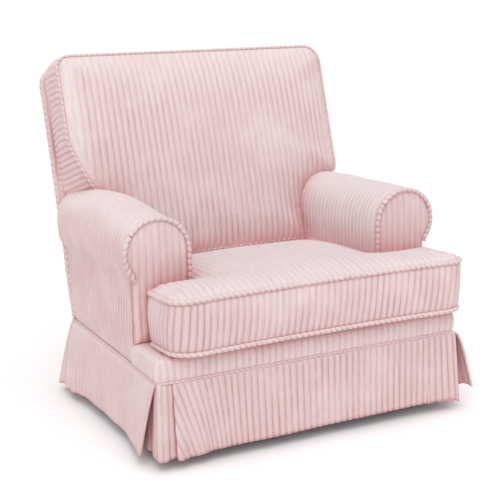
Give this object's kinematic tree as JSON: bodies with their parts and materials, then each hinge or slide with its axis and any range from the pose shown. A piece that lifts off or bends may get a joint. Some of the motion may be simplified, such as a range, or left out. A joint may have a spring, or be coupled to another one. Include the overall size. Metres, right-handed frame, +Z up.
{
  "type": "swivel glider nursery chair",
  "caption": "Upholstered swivel glider chair with rolled arms, T-shaped loose seat and back cushions, welted edges and a kick-pleat skirt over a steel glider base.",
  "frame": {"origin": "on the floor, under the middle of the whole chair's outline at rest", "axes": "+Z up, +X to the right when facing the front of the chair, -Y towards the front (the way the sitter faces)"},
  "size_m": [0.96, 0.9084, 0.9747],
  "materials": {
    "corduroy": "wide-wale chenille corduroy, matte pile",
    "steel": "black powder coat",
    "zinc": "bright zinc plate",
    "spring_steel": "oiled spring wire",
    "wood": "planed hardwood, unfinished",
    "nylon": "moulded nylon",
    "webbing": "woven polypropylene and jute"
  },
  "bodies": {
    "base": {"floor_ring": "steel", "base_cross": "steel", "bearing_lower_race": "zinc", "bearing_ball_ring": "zinc", "king_bolt": "zinc", "king_nut": "zinc", "floor_glide_1": "nylon", "floor_glide_2": "nylon", "floor_glide_3": "nylon", "floor_glide_4": "nylon"},
    "swivel": {"bearing_upper_race": "zinc", "swivel_frame": "steel", "glider_bracket_left": "steel", "glider_bracket_right": "steel"},
    "front_links": {"front_link_left": "zinc", "front_link_right": "zinc"},
    "rear_links": {"rear_link_left": "zinc", "rear_link_right": "zinc"},
    "chair": {"carriage_cross_front": "steel", "carriage_cross_rear": "steel", "carriage_side_left": "steel", "carriage_side_right": "steel", "seat_rail_front": "wood", "seat_rail_rear": "wood", "seat_rail_left": "wood", "seat_rail_right": "wood", "back_rail_bottom": "wood", "back_rail_top": "wood", "back_post_left": "wood", "back_post_right": "wood", "arm_stump_left": "wood", "arm_stump_right": "wood", "arm_slat_left": "wood", "arm_slat_right": "wood", "back_webbing_1": "webbing", "back_webbing_2": "webbing", "back_webbing_3": "webbing", "seat_deck": "webbing", "seat_spring_1": "spring_steel", "seat_spring_2": "spring_steel", "seat_spring_3": "spring_steel", "seat_spring_4": "spring_steel", "seat_spring_5": "spring_steel", "seat_cushion": "corduroy", "back_cushion": "corduroy", "outside_back": "corduroy", "front_border": "corduroy", "skirt_front": "corduroy", "skirt_back": "corduroy", "arm_cover_left": "corduroy", "arm_cover_right": "corduroy", "arm_front_panel_left": "corduroy", "arm_front_panel_right": "corduroy", "skirt_left": "corduroy", "skirt_right": "corduroy", "pleat_front_left": "corduroy", "pleat_front_right": "corduroy", "pleat_rear_left": "corduroy", "pleat_rear_right": "corduroy"}
  },
  "joints": [
    {"name": "swivel_turn", "type": "hinge", "parent": "base", "child": "swivel", "pos_m": [0, -0.0422, 0.06], "axis": [0, 0, 1], "continuous": true},
    {"name": "front_link_swing", "type": "hinge", "parent": "swivel", "child": "front_links", "pos_m": [0, -0.1522, 0.174], "axis": [1, 0, 0], "range_deg": [-20, 20]},
    {"name": "rear_link_swing", "type": "hinge", "parent": "swivel", "child": "rear_links", "pos_m": [0, 0.0678, 0.174], "axis": [1, 0, 0], "range_deg": [-20.2, 20.2]},
    {"name": "chair_level", "type": "hinge", "parent": "front_links", "child": "chair", "pos_m": [0, -0.1522, 0.064], "axis": [1, 0, 0], "range_deg": [-20.2, 20.2]}
  ],
  "couplings": [
    {"joint": "rear_link_swing", "follows": "front_link_swing", "ratio": 1},
    {"joint": "chair_level", "follows": "front_link_swing", "ratio": -1}
  ]
}
